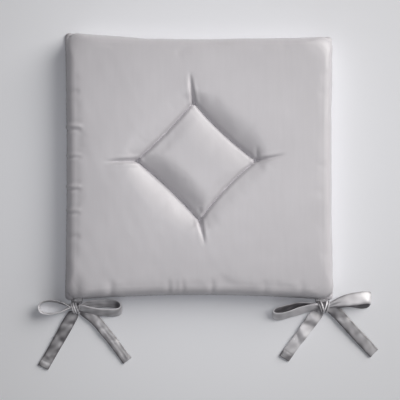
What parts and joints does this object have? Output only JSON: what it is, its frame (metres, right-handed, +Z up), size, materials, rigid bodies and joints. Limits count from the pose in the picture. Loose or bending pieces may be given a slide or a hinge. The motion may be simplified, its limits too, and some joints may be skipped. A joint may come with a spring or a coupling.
{
  "type": "chair seat pad",
  "caption": "Square padded chair seat pad in a smooth sewn cover, quilted through with a diamond, with fabric ties at the rear corners tied in bows.",
  "frame": {"origin": "middle of the flat underside, halfway between the corners of the bottom seam", "axes": "+Z up out of the seat, +Y towards the front edge, -Y towards the rear edge with the ties, +X to the right as the sitter sees it from above with the front edge away"},
  "size_m": [0.5072, 0.5038, 0.044],
  "materials": {
    "cover_fabric": "satin",
    "tie_fabric": "satin",
    "thread": "satin",
    "foam": "matte",
    "wadding": "matte"
  },
  "bodies": {
    "pad": {"foam_core": "foam", "wadding_base": "wadding", "wadding_top": "wadding", "cover_base_panel": "cover_fabric", "cover_top_panel": "cover_fabric", "seam_thread": "thread", "corner_seam_threads": "thread", "diamond_stitch_top": "thread", "diamond_stitch_base": "thread", "tie_left_outer_sewn_end": "tie_fabric", "tie_left_inner_sewn_end": "tie_fabric", "tie_right_inner_sewn_end": "tie_fabric", "tie_right_outer_sewn_end": "tie_fabric", "bartack_left": "thread", "bartack_right": "thread"},
    "bow_left": {"tie_left_outer": "tie_fabric", "tie_left_inner": "tie_fabric"},
    "bow_right": {"tie_right_inner": "tie_fabric", "tie_right_outer": "tie_fabric"}
  },
  "joints": [
    {"name": "bow_left_swing", "type": "hinge", "parent": "pad", "child": "bow_left", "pos_m": [-0.182, -0.20045, 0.0022], "axis": [-1, 0, 0], "range_deg": [-90, 45]},
    {"name": "bow_right_swing", "type": "hinge", "parent": "pad", "child": "bow_right", "pos_m": [0.182, -0.20045, 0.0022], "axis": [-1, 0, 0], "range_deg": [-90, 45]}
  ]
}
